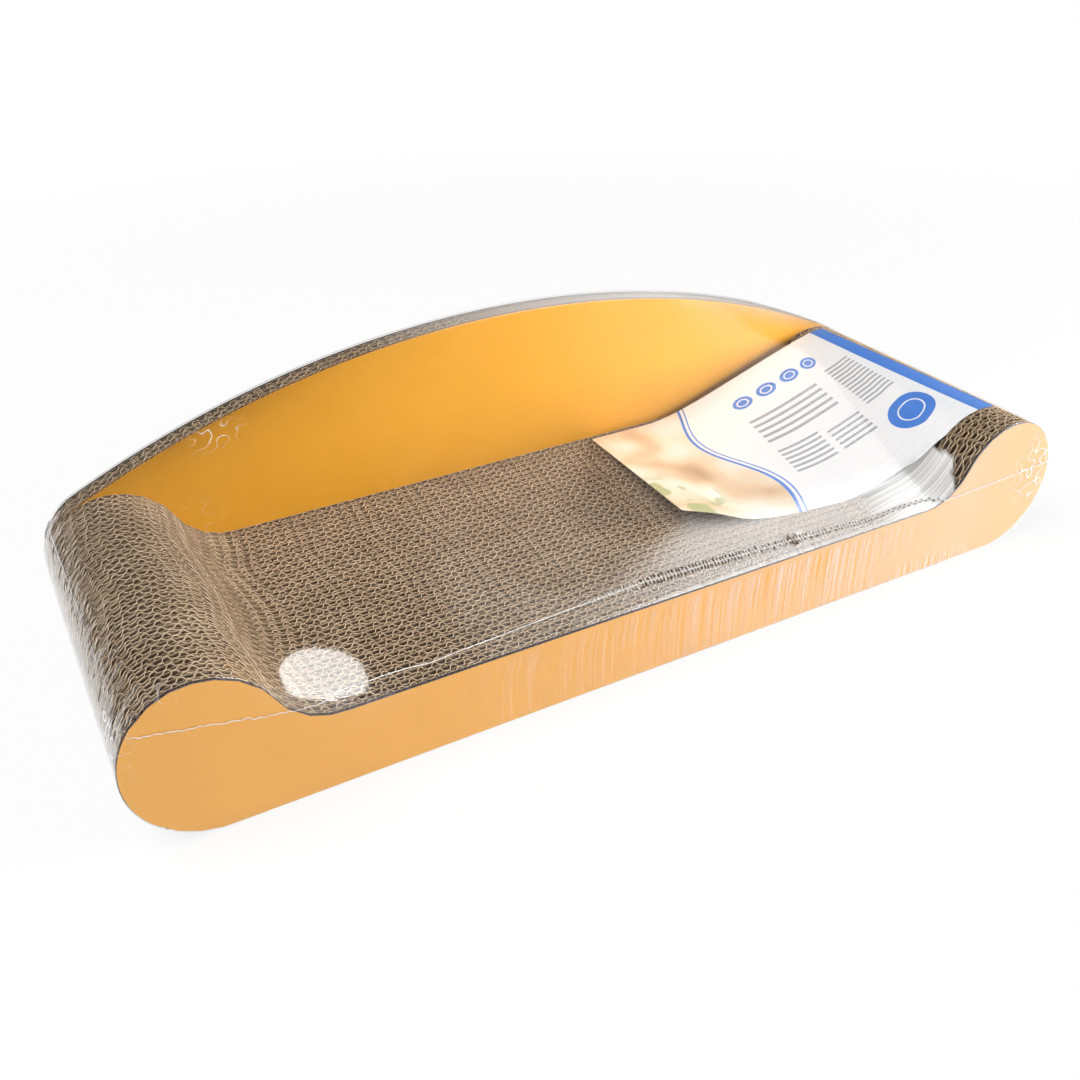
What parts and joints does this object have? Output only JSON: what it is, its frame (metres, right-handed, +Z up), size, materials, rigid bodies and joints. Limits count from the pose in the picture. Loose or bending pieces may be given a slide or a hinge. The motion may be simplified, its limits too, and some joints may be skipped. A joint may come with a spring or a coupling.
{
  "type": "cat scratcher lounger",
  "caption": "Sofa-shaped cat scratcher of upright corrugated boards glued face to face, with orange panels, a tall arched backrest, an insert card and a clear shrink film",
  "frame": {"origin": "middle of the bounding box on the plane the lounger stands on", "axes": "+X along the length towards the end the insert card lies at, +Y from the front panel towards the backrest, +Z up"},
  "size_m": [0.6012, 0.2126, 0.1494],
  "materials": {
    "corrugated_board": "cut edges of double-wall corrugated board, kraft brown",
    "printed_board": "fine corrugated board with a satin orange print on its outer face",
    "insert_card": null,
    "shrink_film": "clear glossy shrink film"
  },
  "bodies": {
    "root": {"front_panel": "printed_board", "seat_layer_01": "corrugated_board", "seat_layer_02": "corrugated_board", "seat_layer_03": "corrugated_board", "seat_layer_04": "corrugated_board", "seat_layer_05": "corrugated_board", "seat_layer_06": "corrugated_board", "seat_layer_07": "corrugated_board", "seat_layer_08": "corrugated_board", "seat_layer_09": "corrugated_board", "seat_layer_10": "corrugated_board", "seat_layer_11": "corrugated_board", "seat_layer_12": "corrugated_board", "seat_layer_13": "corrugated_board", "seat_layer_14": "corrugated_board", "seat_layer_15": "corrugated_board", "seat_layer_16": "corrugated_board", "seat_layer_17": "corrugated_board", "seat_layer_18": "corrugated_board", "seat_layer_19": "corrugated_board", "seat_layer_20": "corrugated_board", "seat_layer_21": "corrugated_board", "seat_layer_22": "corrugated_board", "seat_layer_23": "corrugated_board", "seat_layer_24": "corrugated_board", "seat_layer_25": "corrugated_board", "seat_layer_26": "corrugated_board", "seat_layer_27": "corrugated_board", "seat_layer_28": "corrugated_board", "seat_layer_29": "corrugated_board", "seat_layer_30": "corrugated_board", "seat_layer_31": "corrugated_board", "seat_layer_32": "corrugated_board", "backrest_face_panel": "printed_board", "backrest_layer_1": "corrugated_board", "backrest_layer_2": "corrugated_board", "back_panel": "printed_board", "film_lower_web": "shrink_film", "film_upper_web": "shrink_film", "insert_card": "insert_card"}
  },
  "joints": []
}
